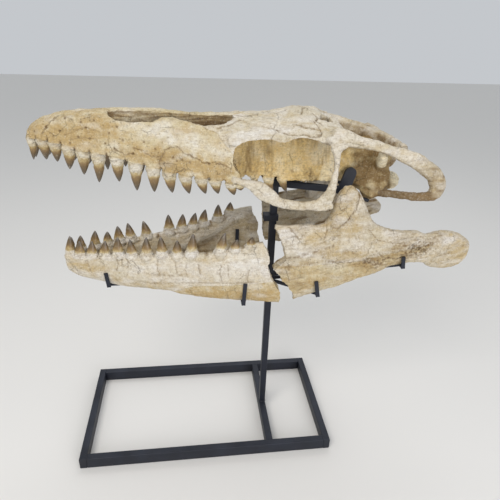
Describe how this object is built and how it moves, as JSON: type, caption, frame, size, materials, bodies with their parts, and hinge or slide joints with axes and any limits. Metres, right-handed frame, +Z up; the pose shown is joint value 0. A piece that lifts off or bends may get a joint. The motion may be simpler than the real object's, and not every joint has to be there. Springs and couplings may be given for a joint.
{
  "type": "fossil mosasaur skull",
  "caption": "Life-size fossil mosasaur skull with open jaws and curved conical teeth, held by steel clips on a single post over an open rectangular steel base.",
  "frame": {"origin": "on the floor under the middle of the stand's post, in the underside of the cross bar", "axes": "+Z up; the snout points along -X and the back of the skull along +X; the animal's left side faces -Y"},
  "size_m": [1.081, 0.368, 0.961],
  "materials": {
    "ivory_fossil_bone": "matt, dry, cracked",
    "tan_fossil_bone": "matt, dry, pitted",
    "brown_fossil_bone": "matt, streaked",
    "painted_steel": "satin black paint"
  },
  "bodies": {
    "root": {"premaxilla": "tan_fossil_bone", "frontal": "ivory_fossil_bone", "maxilla_left": "tan_fossil_bone", "prefrontal_left": "ivory_fossil_bone", "postorbital_left": "ivory_fossil_bone", "jugal_left": "ivory_fossil_bone", "squamosal_left": "ivory_fossil_bone", "maxilla_right": "tan_fossil_bone", "prefrontal_right": "ivory_fossil_bone", "postorbital_right": "ivory_fossil_bone", "jugal_right": "ivory_fossil_bone", "squamosal_right": "ivory_fossil_bone", "parietal": "ivory_fossil_bone", "braincase": "brown_fossil_bone", "pterygoid_left": "brown_fossil_bone", "pterygoid_right": "brown_fossil_bone", "dentary_left": "ivory_fossil_bone", "splenial_left": "tan_fossil_bone", "surangular_left": "ivory_fossil_bone", "angular_left": "tan_fossil_bone", "coronoid_left": "ivory_fossil_bone", "articular_left": "ivory_fossil_bone", "dentary_right": "ivory_fossil_bone", "splenial_right": "tan_fossil_bone", "surangular_right": "ivory_fossil_bone", "angular_right": "tan_fossil_bone", "coronoid_right": "ivory_fossil_bone", "stand_base_front": "painted_steel", "stand_base_back": "painted_steel", "stand_base_left": "painted_steel", "stand_base_right": "painted_steel", "stand_base_cross": "painted_steel", "stand_post": "painted_steel", "stand_collar": "painted_steel", "stand_hub": "painted_steel", "stand_yoke_left": "painted_steel", "stand_clip_front_left": "painted_steel", "stand_clip_middle_left": "painted_steel", "stand_clip_rear_left": "painted_steel", "stand_clip_back_left": "painted_steel", "stand_yoke_right": "painted_steel", "stand_clip_front_right": "painted_steel", "stand_clip_middle_right": "painted_steel", "stand_clip_rear_right": "painted_steel", "stand_clip_back_right": "painted_steel"}
  },
  "joints": []
}
